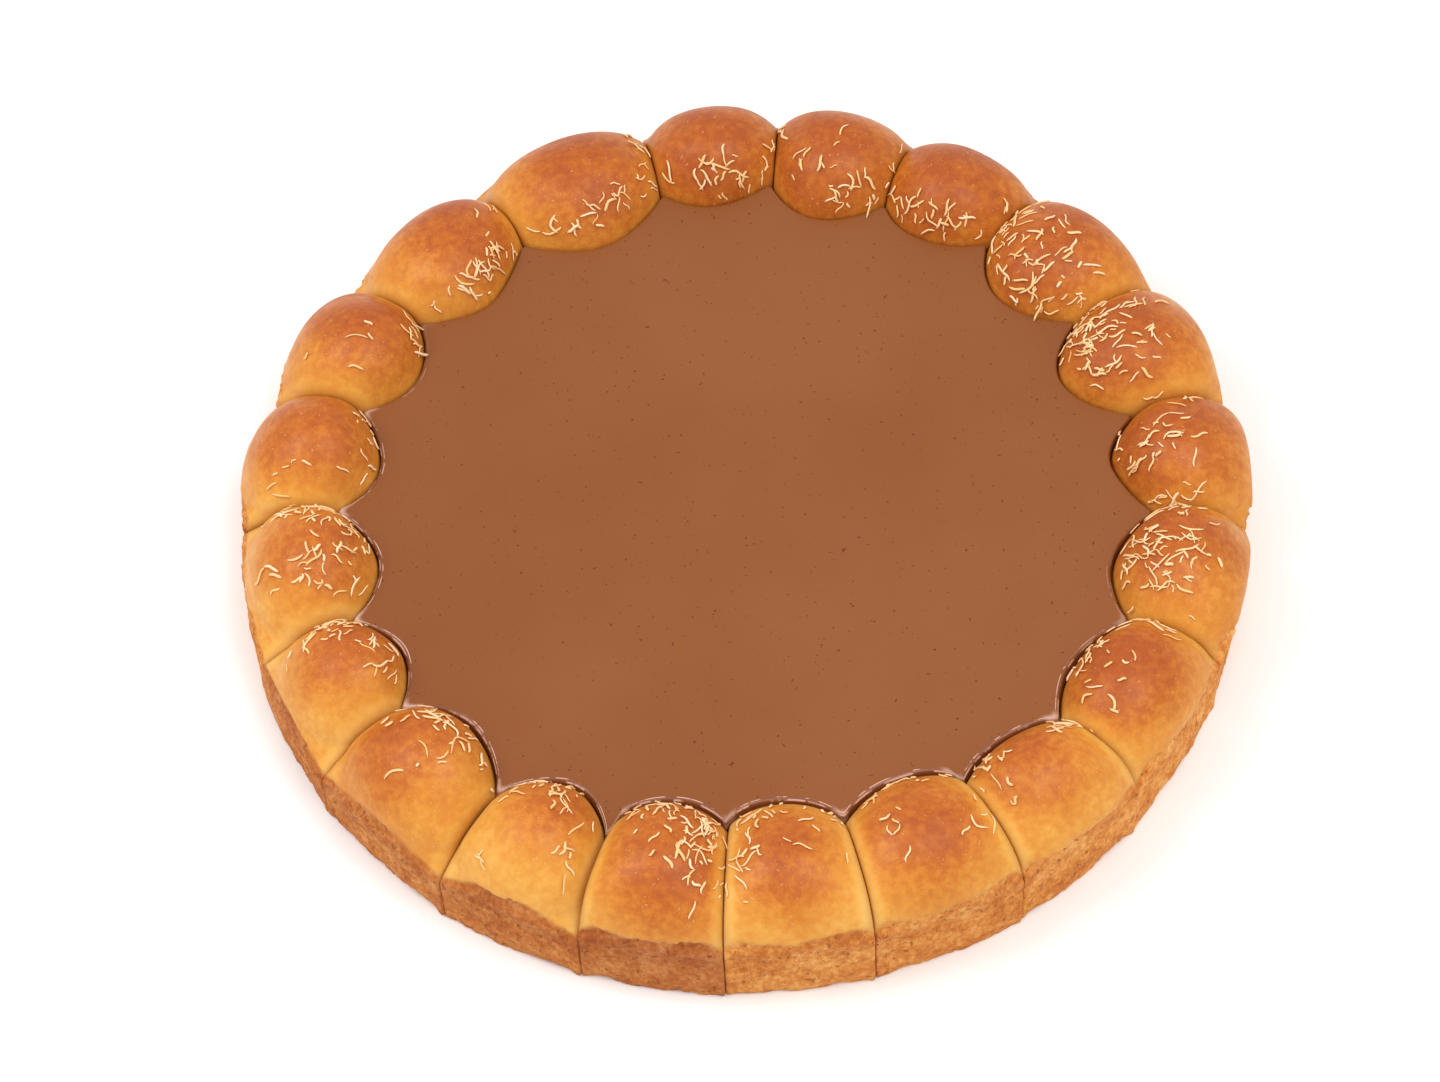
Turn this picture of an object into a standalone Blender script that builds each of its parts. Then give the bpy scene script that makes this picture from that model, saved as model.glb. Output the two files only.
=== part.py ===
"""Pull-apart bread: a ring of soft rolls round a well of smooth brown filling.

Metres, +Z up. The origin is on the floor under the middle of the bread. Bearings
are in degrees, clockwise seen from above, and start at the back (+Y).

The rolls were baked side by side in a round pan, so each one is a ball of dough
that its two neighbours, the pan's wall and the pan's floor hold back. Roll_form
says how far each of these lets the dough go, and the rest of the script only
reads it: the rolls' skins, the edge of the filling and the shreds on the crust.
"""
import math
import random
from collections import namedtuple

import bmesh
import bpy
import numpy as np

MM = 0.001

# The pan, which stood a little to the left of the ring's own middle
PAN_RADIUS = 146.5 * MM
PAN_SHIFT = 2.0 * MM
PAN_SHIFT_BEARING = 255.0

# A roll is measured from its heart, the middle of the ball of dough. A swell is how far
# the free dough would reach from there. A spread is its free half width as a share of
# its half of the seam-to-seam width, with WALL_SPREAD more next to the pan's wall, and
# more again for a blunt roll.
HEART_RADIUS = 126.0 * MM
HEART_HEIGHT = 20.0 * MM
OUTWARD_SWELL = 21.5 * MM
DOWNWARD_SWELL = 46.0 * MM
WALL_SPREAD = 0.70
WALL_BLUNTNESS = 1.5
# Low down, the dough was pressed into the pan's corner and against its neighbours
PRESSED_SWELL = 34.0 * MM
PRESSED_SPREAD = 2.6
PRESSED_UP_TO = (8.0 * MM, 27.0 * MM)
# Above the pan's rim, a roll may bulge over it
OVERHANG_FROM = (19.0 * MM, 25.0 * MM)
EDGE_SHARPNESS = 32.0
UNEVENNESS = 0.02
# Slow swellings of its skin: strength, waves outward, sideways and upward, and phase
SWELLINGS = (
    (0.35, 2.3, 1.9, 0.8, 1.7),
    (0.30, -1.2, 1.4, 2.1, 4.1),
    (0.20, 4.6, 2.2, -3.7, 2.9),
    (0.15, 1.5, 5.2, 2.6, 5.3),
)
# The filling and the bread under it
FILLING_LEVEL = 29.5 * MM
FILLING_BOTTOM = 22.0 * MM
LIP_WIDTH = 2.0 * MM
JOINT_GAP = 0.3 * MM
WELL_GAP = 0.7 * MM
# The well's outline: all noses lie beyond a radius, its corners at the seams are read
# near the rolls' sides, the filling's wall keeps to the outline a little lower down,
# and the base keeps clear of the rolls at each of its heights
NOSE_BEYOND = 80.0 * MM
CORNER_SIDE = 0.965
WALL_DROP = 2.0 * MM
BASE_BESIDE = (3.0 * MM, 8.0 * MM, 13.0 * MM, 18.0 * MM)

FIRST_SEAM = -10.0
Roll = namedtuple("Roll", "share nose crown bulge lean spread bluntness")
# One line for each roll, clockwise from the back: its share of the ring in degrees;
# in mm, how near its nose comes to the axis at the filling's level, how high its
# crown stands and how far it bulges over the pan's rim; how far its nose leans
# sideways, as a share of its half width; its spread, and how much more of it the
# nose has.
ROLLS = (
    Roll(17.0, 111, 45, 1.5, -0.10, 1.22, -0.2),
    Roll(17.0, 107, 45, 1.5, -0.10, 1.20, -0.1),
    Roll(17.5, 110, 44, 1.0, -0.20, 1.18, -0.1),
    Roll(19.0, 106, 44, 1.5, -0.10, 1.15, -0.1),
    Roll(18.0, 103, 45, 2.5, -0.05, 1.15, -0.1),
    Roll(17.5, 108, 45, 3.0, -0.10, 1.15, -0.3),
    Roll(18.8, 109, 45, 2.0, 0.00, 1.18, -0.2),
    Roll(19.3, 110, 45, 0.5, 0.05, 1.22, -0.1),
    Roll(17.2, 110, 45, 1.0, 0.10, 1.30, 0.1),
    Roll(17.7, 105, 45, 1.0, -0.10, 1.35, 0.2),
    Roll(16.5, 103, 45, 1.0, 0.10, 1.35, 0.3),
    Roll(16.0, 104, 46, 1.0, 0.00, 1.27, 0.3),
    Roll(17.0, 108, 44, 1.0, -0.02, 1.06, -0.1),
    Roll(19.0, 109, 45, 0.5, 0.10, 1.10, -0.1),
    Roll(16.5, 111, 44, -0.5, 0.05, 1.10, -0.2),
    Roll(18.5, 109, 45, -0.5, -0.05, 1.12, -0.2),
    Roll(17.5, 109, 46, 2.5, -0.10, 1.12, -0.2),
    Roll(17.5, 109, 45, 3.0, -0.08, 1.15, -0.2),
    Roll(20.5, 108, 44, 1.5, -0.10, 1.18, -0.3),
    Roll(22.0, 105, 45, 1.5, 0.00, 1.18, -0.2),
)

# Places on a roll's skin are told by two angles at its heart, in degrees: the rise,
# from 0 at its nose over 90 at its crown to 180 at the pan, and the lean clockwise.
Cluster = namedtuple("Cluster", "roll count rise lean rise_spread lean_spread")
# The shreds that fell together: on which roll, how many, round which place, how widely
CLUSTERS = (
    Cluster(1, 26, 54, 12, 11, 13),
    Cluster(1, 2, 64, -42, 4, 3),
    Cluster(1, 9, 84, 50, 16, 4),
    Cluster(2, 4, 104, -50, 12, 4),
    Cluster(2, 5, 56, -24, 12, 5),
    Cluster(2, 5, 78, -4, 8, 10),
    Cluster(2, 18, 50, 30, 9, 14),
    Cluster(2, 8, 92, 51, 16, 4),
    Cluster(3, 34, 50, 2, 9, 32),
    Cluster(3, 7, 90, 52, 18, 4),
    Cluster(4, 8, 66, -51, 12, 4),
    Cluster(4, 14, 92, -44, 14, 7),
    Cluster(4, 42, 76, 2, 20, 26),
    Cluster(4, 26, 47, 0, 9, 26),
    Cluster(5, 48, 80, 4, 20, 24),
    Cluster(5, 46, 50, -14, 10, 14),
    Cluster(5, 18, 68, -50, 14, 5),
    Cluster(6, 24, 70, 2, 16, 14),
    Cluster(6, 4, 104, -36, 8, 8),
    Cluster(6, 10, 82, 50, 20, 5),
    Cluster(6, 9, 40, 8, 5, 24),
    Cluster(7, 44, 82, 4, 14, 14),
    Cluster(7, 14, 80, -38, 16, 6),
    Cluster(7, 14, 52, 0, 7, 24),
    Cluster(7, 14, 98, 20, 16, 16),
    Cluster(8, 28, 60, 8, 10, 26),
    Cluster(8, 8, 76, -48, 14, 5),
    Cluster(8, 6, 92, 10, 8, 16),
    Cluster(9, 14, 80, -30, 10, 10),
    Cluster(9, 22, 68, 34, 16, 12),
    Cluster(10, 10, 86, 4, 22, 24),
    Cluster(10, 16, 44, 0, 6, 30),
    Cluster(10, 3, 107, -37, 6, 5),
    Cluster(11, 16, 80, 8, 16, 26),
    Cluster(11, 18, 50, 4, 7, 28),
    Cluster(11, 7, 98, 34, 12, 8),
    Cluster(12, 38, 82, -12, 18, 14),
    Cluster(12, 16, 62, -24, 8, 8),
    Cluster(12, 26, 50, -4, 7, 26),
    Cluster(12, 6, 114, -26, 10, 10),
    Cluster(12, 6, 90, -54, 20, 4),
    Cluster(13, 8, 92, -32, 20, 5),
    Cluster(13, 34, 60, 6, 13, 15),
    Cluster(13, 3, 132, 26, 5, 4),
    Cluster(14, 32, 62, 0, 11, 26),
    Cluster(14, 8, 100, 0, 10, 22),
    Cluster(15, 28, 94, 28, 18, 7),
    Cluster(15, 18, 62, -12, 12, 14),
    Cluster(16, 28, 86, 36, 22, 8),
    Cluster(16, 28, 66, 8, 14, 16),
    Cluster(16, 24, 92, -24, 22, 10),
    Cluster(17, 6, 112, -34, 14, 8),
    Cluster(17, 10, 52, 22, 9, 12),
    Cluster(17, 4, 50, -20, 8, 10),
    Cluster(18, 5, 88, -18, 14, 8),
    Cluster(18, 14, 46, 32, 8, 13),
    Cluster(19, 36, 50, 6, 9, 24),
    Cluster(19, 4, 92, 45, 6, 4),
    Cluster(20, 26, 50, 4, 8, 32),
    Cluster(20, 14, 92, 50, 20, 4),
)
# The longest shreds of a cluster, this share of them, are fused to their roll. A shred
# has a length at least, at most and mostly; it turns from the way up the crust, bends,
# and now and then is hooked at one end.
FUSED_SHARE = 0.20
SHRED_LENGTHS = (0.8 * MM, 8.0 * MM, 2.4 * MM)
SHRED_TURN = 0.9
SHRED_BEND = 0.18
SHRED_HOOK = 1.5
HOOKED = 0.25
SHRED_WIDTH = 1.2 * MM
SHRED_THICKNESS = 1.6 * MM
SHRED_STANDS_OUT = 0.35 * MM
SHRED_CLEARANCE = 1.0 * MM
SHRED_SPACING = 4.0 * MM
FIRST_SEED = 400

CRUST_COLOUR = (0.61, 0.24, 0.06)
CRUST_ROUGHNESS = 0.45
CRUMB_COLOUR = (0.48, 0.20, 0.07)
CRUMB_ROUGHNESS = 0.8
FILLING_COLOUR = (0.34, 0.12, 0.05)
FILLING_ROUGHNESS = 0.4

# How finely each solid is faceted, and how finely its skin is found
ROLL_CUTS = 5
FLAT_WITHIN = 0.15 * MM
EDGE_STEPS = (-0.9, -0.75, -0.42, 0.0, 0.42, 0.75, 0.9)
CREASE_ANGLE = math.radians(40.0)
HALVINGS = 30


def direction(bearing):
    """The outward and the clockwise direction at a bearing in degrees."""
    angle = math.radians(bearing)
    outward = np.array([math.sin(angle), math.cos(angle), 0.0])
    clockwise = np.array([math.cos(angle), -math.sin(angle), 0.0])
    return outward, clockwise


def middle_bearing(index):
    """The bearing of a roll's middle."""
    before = sum(roll.share for roll in ROLLS[:index])
    return FIRST_SEAM + before + ROLLS[index].share / 2


def heart_of(index):
    """A roll's heart, and the outward and the clockwise direction there."""
    outward, clockwise = direction(middle_bearing(index))
    return outward * HEART_RADIUS + np.array([0.0, 0.0, HEART_HEIGHT]), outward, clockwise


def smooth_step(value, low, high):
    """0 below low, 1 above high and a smooth rise between them."""
    part = np.clip((value - low) / (high - low), 0.0, 1.0)
    return part * part * (3.0 - 2.0 * part)


def swell(index, out, side, up):
    """Slow hollows and swellings of a roll's skin, from -1 to 1."""
    return sum(strength * np.sin(outward * out + sideways * side + upward * up + phase * (index + 1))
               for strength, outward, sideways, upward, phase in SWELLINGS)


def roll_form(index, radius, bearing_offset, height):
    """How full a roll is at a place: below 1 in its dough, 1 on its skin.

    The place is a radius from the bread's axis, a bearing in degrees from the
    roll's middle and a height, as numbers or as arrays of them.
    """
    roll = ROLLS[index]
    crown_swell = roll.crown * MM - HEART_HEIGHT
    level = (FILLING_LEVEL - HEART_HEIGHT) / crown_swell
    inward_swell = (HEART_RADIUS - roll.nose * MM) / math.sqrt(1.0 - level * level)

    out = radius - HEART_RADIUS
    up = height - HEART_HEIGHT
    pressed = 1.0 - smooth_step(height, *PRESSED_UP_TO)
    outward_swell = OUTWARD_SWELL + roll.bulge * MM
    outward_swell = outward_swell + (PRESSED_SWELL - outward_swell) * pressed
    out_part = np.where(out < 0.0, out / inward_swell, out / outward_swell)
    up_part = np.where(up < 0.0, up / DOWNWARD_SWELL, up / crown_swell)
    inner = np.clip(-out_part, 0.0, 1.0)
    half_share = roll.share / 2
    side = bearing_offset / half_share
    end_spread = np.where(out < 0.0, roll.bluntness, WALL_SPREAD + WALL_BLUNTNESS * roll.bluntness)
    spread = roll.spread + end_spread * np.minimum(out_part ** 2, 1.0)
    spread = spread + (PRESSED_SPREAD - spread) * pressed
    side_part = np.abs(side - roll.lean * inner * inner) / spread
    ball = np.sqrt(out_part ** 2 + up_part ** 2 + side_part ** 2)
    ball = ball * (1.0 + UNEVENNESS * swell(index, out_part, side, up_part))

    gap_share = np.degrees(0.5 * JOINT_GAP / radius)
    neighbours = np.abs(bearing_offset) / (half_share - gap_share)
    overhang = smooth_step(height, *OVERHANG_FROM)
    shift = PAN_SHIFT * math.cos(math.radians(middle_bearing(index) - PAN_SHIFT_BEARING))
    wall_radius = PAN_RADIUS + shift + roll.bulge * MM * overhang
    wall = np.maximum(out, 0.0) / (wall_radius - HEART_RADIUS)
    floor = np.maximum(-up, 0.0) / HEART_HEIGHT

    limits = (ball, neighbours, wall, floor)
    return sum(limit ** EDGE_SHARPNESS for limit in limits) ** (1.0 / EDGE_SHARPNESS)


def skin_points(index, directions):
    """Where rays from a roll's heart meet its skin, as an array of places."""
    heart, _, _ = heart_of(index)
    near = np.zeros(len(directions))
    far = np.full(len(directions), 2.0 * HEART_HEIGHT)
    for _ in range(HALVINGS):
        reach = (near + far) / 2
        places = heart + directions * reach[:, None]
        radius = np.hypot(places[:, 0], places[:, 1])
        offset = np.degrees(np.arctan2(places[:, 0], places[:, 1])) - middle_bearing(index)
        offset = (offset + 180.0) % 360.0 - 180.0
        inside = roll_form(index, radius, offset, places[:, 2]) < 1.0
        near = np.where(inside, reach, near)
        far = np.where(inside, far, reach)
    return heart + directions * near[:, None]


def edge_radius(index, side, height):
    """How far from the axis a roll's nose begins, at a share of its half width."""
    near = NOSE_BEYOND
    far = HEART_RADIUS
    for _ in range(HALVINGS):
        radius = (near + far) / 2
        form = roll_form(index, radius, side * ROLLS[index].share / 2, height)
        if form > 1.0:
            near = radius
        else:
            far = radius
    return near


def well_outline(height):
    """The outline of the well inside the rolls at a height, as bearings and radii."""
    outline = []
    for index, roll in enumerate(ROLLS):
        for side in EDGE_STEPS:
            bearing = middle_bearing(index) + side * roll.share / 2
            outline.append((bearing, edge_radius(index, side, height)))
        following = (index + 1) % len(ROLLS)
        seam = middle_bearing(index) + roll.share / 2
        corner = min(edge_radius(index, CORNER_SIDE, height), edge_radius(following, -CORNER_SIDE, height))
        outline.append((seam, corner))
    return outline


def material(name, colour, roughness):
    """A plain material with one colour."""
    made = bpy.data.materials.new(name)
    made.use_nodes = True
    shader = made.node_tree.nodes["Principled BSDF"]
    shader.inputs["Base Color"].default_value = (*colour, 1.0)
    shader.inputs["Roughness"].default_value = roughness
    shader.inputs["Metallic"].default_value = 0.0
    return made


def shade(data):
    """Smooth round a form's curves, with a crease at each of its edges."""
    data.shade_smooth()
    data.set_sharp_from_angle(angle=CREASE_ANGLE)


def add_object(name, mesh, finish):
    """Put a bmesh into the scene as a named object."""
    bmesh.ops.recalc_face_normals(mesh, faces=mesh.faces)
    data = bpy.data.meshes.new(name)
    mesh.to_mesh(data)
    mesh.free()
    shade(data)
    data.materials.append(finish)
    made = bpy.data.objects.new(name, data)
    bpy.context.scene.collection.objects.link(made)
    return made


def roll_mesh(index):
    """The bare body of a roll: a cube's surface, blown up to the roll's skin."""
    mesh = bmesh.new()
    bmesh.ops.create_cube(mesh, size=2.0)
    bmesh.ops.subdivide_edges(mesh, edges=mesh.edges, cuts=ROLL_CUTS, use_grid_fill=True)
    _, outward, clockwise = heart_of(index)
    spread = np.array([vert.co for vert in mesh.verts])
    spread /= np.linalg.norm(spread, axis=1)[:, None]
    frame = np.array([outward, clockwise, [0.0, 0.0, 1.0]])
    for vert, place in zip(mesh.verts, skin_points(index, spread @ frame)):
        vert.co = place
        if vert.co.z < FLAT_WITHIN:
            vert.co.z = 0.0
    for seam in (-1.0, 1.0):
        along, across = direction(middle_bearing(index) + seam * ROLLS[index].share / 2)
        joined = [face for face in mesh.faces
                  if all(abs(vert.co.dot(across)) < 0.5 * JOINT_GAP + FLAT_WITHIN
                         and vert.co.dot(along) > 0.0 for vert in face.verts)]
        bmesh.ops.dissolve_faces(mesh, faces=joined)
    underside = [face for face in mesh.faces if all(vert.co.z == 0.0 for vert in face.verts)]
    bmesh.ops.dissolve_faces(mesh, faces=underside)
    return mesh


def drawn_shreds(cluster, dice):
    """What chance gives each shred: rise, lean, turn, half length, bend and hook."""
    return [(dice.gauss(cluster.rise, cluster.rise_spread), dice.gauss(cluster.lean, cluster.lean_spread),
             dice.gauss(0.0, SHRED_TURN), dice.triangular(*SHRED_LENGTHS) / 2,
             dice.gauss(0.0, SHRED_BEND), dice.uniform(-SHRED_HOOK, SHRED_HOOK) * (dice.random() < HOOKED))
            for _ in range(cluster.count)]


def shred_path(index, draw):
    """The middle line of one shred, as three places on a roll's skin, and the way up."""
    heart, outward, clockwise = heart_of(index)
    rise, lean, turn, half, bend, hook = draw
    rise = math.radians(rise)
    lean = math.radians(lean)
    aim = -outward * math.cos(rise) + np.array([0.0, 0.0, math.sin(rise)])
    aim = aim * math.cos(lean) + clockwise * math.sin(lean)
    middle = skin_points(index, aim[None, :])[0]

    upward = np.cross(aim, clockwise)
    upward /= np.linalg.norm(upward)
    along = upward * math.cos(turn) + np.cross(aim, upward) * math.sin(turn)
    across = np.cross(aim, along)
    stations = np.array([-1.0, 0.0, 1.0])
    sideways = bend * stations ** 2 + hook * np.maximum(stations - 0.1, 0.0) ** 2
    rough = middle + along * half * stations[:, None] + across * half * sideways[:, None]
    rays = rough - heart
    return skin_points(index, rays / np.linalg.norm(rays, axis=1)[:, None]), aim


def is_clear(index, path, others):
    """Whether a shred keeps off the filling, the neighbouring rolls and the other shreds."""
    room = SHRED_CLEARANCE + SHRED_WIDTH / 2
    if min(path[:, 2]) < FILLING_LEVEL + room:
        return False
    for seam in (-1.0, 1.0):
        _, across = direction(middle_bearing(index) + seam * ROLLS[index].share / 2)
        if min(abs(path @ across)) < room:
            return False
    return all(np.linalg.norm(path[1] - other[1]) > SHRED_SPACING for other in others)


def shred_mesh(path, aim):
    """A four-sided strip that lies half sunk along a path on the skin."""
    mesh = bmesh.new()
    bmesh.ops.create_cube(mesh, size=2.0)
    lengthwise = [edge for edge in mesh.edges
                  if abs(edge.verts[0].co.x - edge.verts[1].co.x) > 1.0]
    bmesh.ops.subdivide_edges(mesh, edges=lengthwise, cuts=1)
    for vert in mesh.verts:
        station = round(vert.co.x) + 1
        ahead = path[min(station + 1, 2)] - path[max(station - 1, 0)]
        sideways = np.cross(aim, ahead)
        sideways /= np.linalg.norm(sideways)
        rise = SHRED_STANDS_OUT + (vert.co.z - 1.0) * SHRED_THICKNESS / 2
        vert.co = path[station] + sideways * vert.co.y * SHRED_WIDTH / 2 + aim * rise
    return mesh


def shreds_on(index):
    """The longest shreds of a roll's clusters, so far as they lie clear of each other."""
    chosen = []
    for number, cluster in enumerate(CLUSTERS):
        if cluster.roll != index + 1:
            continue
        draws = drawn_shreds(cluster, random.Random(FIRST_SEED + number))
        draws.sort(key=lambda draw: -draw[3])
        for draw in draws[:round(cluster.count * FUSED_SHARE)]:
            path, aim = shred_path(index, draw)
            if is_clear(index, path, [other for other, _ in chosen]):
                chosen.append((path, aim))
    return chosen


def fuse(body, pieces):
    """Join pieces to a body with one union."""
    group = bpy.data.collections.new("pieces")
    for piece in pieces:
        group.objects.link(piece)
    union = body.modifiers.new("union", "BOOLEAN")
    union.operation = "UNION"
    union.operand_type = "COLLECTION"
    union.collection = group
    union.solver = "EXACT"
    seen = body.evaluated_get(bpy.context.evaluated_depsgraph_get())
    joined = bpy.data.meshes.new_from_object(seen)
    body.modifiers.clear()
    body.data = joined
    shade(joined)
    for piece in pieces:
        bpy.data.objects.remove(piece, do_unlink=True)
    bpy.data.collections.remove(group)


def build_rolls(crust):
    """The rolls of the ring, each with its shreds baked on."""
    for index in range(len(ROLLS)):
        roll = add_object(f"roll_{index + 1:02d}", roll_mesh(index), crust)
        fuse(roll, [add_object("shred", shred_mesh(*place), crust) for place in shreds_on(index)])


def stack_of_loops(loops):
    """A closed body over loops of places, from its underside to its top."""
    mesh = bmesh.new()
    rings = []
    for loop in loops:
        verts = [mesh.verts.new(place) for place in loop]
        rings.append([mesh.edges.new((verts[i - 1], verts[i])) for i in range(len(verts))])
    for lower, upper in zip(rings, rings[1:]):
        bmesh.ops.bridge_loops(mesh, edges=lower + upper)
    bmesh.ops.edgeloop_fill(mesh, edges=rings[0])
    bmesh.ops.edgeloop_fill(mesh, edges=rings[-1])
    return mesh


def places_at(height, outline, inset):
    """An outline's places at a height, drawn in towards the axis by an inset."""
    places = []
    for bearing, radius in outline:
        outward, _ = direction(bearing)
        places.append(outward * (radius - inset) + np.array([0.0, 0.0, height]))
    return places


def build_base(crumb):
    """The bread under the filling, which closes the ring of rolls to a cake."""
    outlines = [well_outline(height) for height in BASE_BESIDE]
    narrowest = [min(corner, key=lambda place: place[1]) for corner in zip(*outlines)]
    loops = [places_at(height, narrowest, WELL_GAP) for height in (0.0, FILLING_BOTTOM - JOINT_GAP)]
    add_object("base", stack_of_loops(loops), crumb)


def build_filling(spread):
    """The filling, which runs up to every roll and ends in a bevelled lip."""
    wall = (FILLING_BOTTOM, FILLING_LEVEL - LIP_WIDTH)
    loops = [places_at(height, well_outline(height - WALL_DROP), WELL_GAP) for height in wall]
    loops.append(places_at(FILLING_LEVEL, well_outline(FILLING_LEVEL), WELL_GAP + LIP_WIDTH))
    add_object("filling", stack_of_loops(loops), spread)


def main():
    """Build the bread: its rolls, the bread under the filling, and the filling."""
    for thing in list(bpy.data.objects):
        bpy.data.objects.remove(thing, do_unlink=True)
    build_rolls(material("crust", CRUST_COLOUR, CRUST_ROUGHNESS))
    build_base(material("crumb", CRUMB_COLOUR, CRUMB_ROUGHNESS))
    build_filling(material("filling", FILLING_COLOUR, FILLING_ROUGHNESS))


main()
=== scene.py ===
"""Pull-apart bread, dressed: baked crust, pan-baked sides, smooth filling and pale shreds.

Metres, +Z up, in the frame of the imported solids. Bearings are in degrees, clockwise
seen from above, and start at the back (+Y). The form of a roll and its sizes are
those of the solids, so that every piece here lies where its solid is.
"""

import math
import random
from collections import namedtuple

import bmesh
import bpy
import numpy as np
from mathutils import Matrix, Vector


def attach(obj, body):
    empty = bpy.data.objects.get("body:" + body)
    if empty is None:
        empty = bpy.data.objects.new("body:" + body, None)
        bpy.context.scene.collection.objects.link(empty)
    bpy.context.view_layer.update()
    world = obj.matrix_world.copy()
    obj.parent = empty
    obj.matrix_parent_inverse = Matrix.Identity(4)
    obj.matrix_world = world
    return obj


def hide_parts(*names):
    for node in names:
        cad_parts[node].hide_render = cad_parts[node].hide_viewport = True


MM = 0.001
UP = np.array([0.0, 0.0, 1.0])

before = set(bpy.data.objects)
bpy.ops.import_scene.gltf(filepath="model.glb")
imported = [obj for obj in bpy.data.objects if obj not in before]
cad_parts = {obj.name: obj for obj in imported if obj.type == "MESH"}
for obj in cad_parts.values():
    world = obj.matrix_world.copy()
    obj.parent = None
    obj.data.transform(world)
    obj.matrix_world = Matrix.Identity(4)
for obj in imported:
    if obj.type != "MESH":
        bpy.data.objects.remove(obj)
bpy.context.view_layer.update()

# The pan, which stood a little to the left of the ring's own middle
PAN_RADIUS = 146.5 * MM
PAN_SHIFT = 2.0 * MM
PAN_SHIFT_BEARING = 255.0

# A roll is measured from its heart, the middle of the ball of dough. A swell is how far
# the free dough would reach from there. A spread is its free half width as a share of
# its half of the seam-to-seam width, with WALL_SPREAD more next to the pan's wall, and
# more again for a blunt roll.
HEART_RADIUS = 126.0 * MM
HEART_HEIGHT = 20.0 * MM
OUTWARD_SWELL = 21.5 * MM
DOWNWARD_SWELL = 46.0 * MM
WALL_SPREAD = 0.70
WALL_BLUNTNESS = 1.5
# Low down, the dough was pressed into the pan's corner and against its neighbours
PRESSED_SWELL = 34.0 * MM
PRESSED_SPREAD = 2.6
PRESSED_UP_TO = (8.0 * MM, 27.0 * MM)
# Above the pan's rim, a roll may bulge over it
OVERHANG_FROM = (19.0 * MM, 25.0 * MM)
# How sharp its edges are, and how strong the slow swellings of its skin
EDGE_SHARPNESS = 72.0
UNEVENNESS = 0.02
# Each swelling: strength, waves outward, sideways and upward, and phase
SWELLINGS = (
    (0.35, 2.3, 1.9, 0.8, 1.7),
    (0.30, -1.2, 1.4, 2.1, 4.1),
    (0.20, 4.6, 2.2, -3.7, 2.9),
    (0.15, 1.5, 5.2, 2.6, 5.3),
)
FILLING_LEVEL = 29.5 * MM
FILLING_BOTTOM = 22.0 * MM
JOINT_GAP = 0.03 * MM
# All noses lie beyond this radius, and the corners between them are read at this share
# of a roll's half width
NOSE_BEYOND = 80.0 * MM
CORNER_SIDE = 0.985
# The bearing of the seam before the first roll, in degrees
FIRST_SEAM = -10.0
# How often a search for the skin halves its range
HALVINGS = 26

Roll = namedtuple("Roll", "share nose crown bulge lean spread bluntness")
# One line for each roll, clockwise from the back: its share of the ring in degrees;
# in mm, how near its nose comes to the axis at the filling's level, how high its
# crown stands and how far it bulges over the pan's rim; how far its nose leans
# sideways, as a share of its half width; its spread, and how much more of it the
# nose has.
ROLLS = (
    Roll(17.0, 111, 45, 1.5, -0.10, 1.22, -0.2),
    Roll(17.0, 107, 45, 1.5, -0.10, 1.20, -0.1),
    Roll(17.5, 110, 44, 1.0, -0.20, 1.18, -0.1),
    Roll(19.0, 106, 44, 1.5, -0.10, 1.15, -0.1),
    Roll(18.0, 103, 45, 2.5, -0.05, 1.15, -0.1),
    Roll(17.5, 108, 45, 3.0, -0.10, 1.15, -0.3),
    Roll(18.8, 109, 45, 2.0, 0.00, 1.18, -0.2),
    Roll(19.3, 110, 45, 0.5, 0.05, 1.22, -0.1),
    Roll(17.2, 110, 45, 1.0, 0.10, 1.30, 0.1),
    Roll(17.7, 105, 45, 1.0, -0.10, 1.35, 0.2),
    Roll(16.5, 103, 45, 1.0, 0.10, 1.35, 0.3),
    Roll(16.0, 104, 46, 1.0, 0.00, 1.27, 0.3),
    Roll(17.0, 108, 44, 1.0, -0.02, 1.06, -0.1),
    Roll(19.0, 109, 45, 0.5, 0.10, 1.10, -0.1),
    Roll(16.5, 111, 44, -0.5, 0.05, 1.10, -0.2),
    Roll(18.5, 109, 45, -0.5, -0.05, 1.12, -0.2),
    Roll(17.5, 109, 46, 2.5, -0.10, 1.12, -0.2),
    Roll(17.5, 109, 45, 3.0, -0.08, 1.15, -0.2),
    Roll(20.5, 108, 44, 1.5, -0.10, 1.18, -0.3),
    Roll(22.0, 105, 45, 1.5, 0.00, 1.18, -0.2),
)

# Places on a roll's skin are told by two angles at its heart, in degrees: the rise,
# from 0 at its nose over 90 at its crown to 180 at the pan, and the lean clockwise.
Bake = namedtuple("Bake", "flanks crown rise lean rise_reach lean_reach singe")
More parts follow.
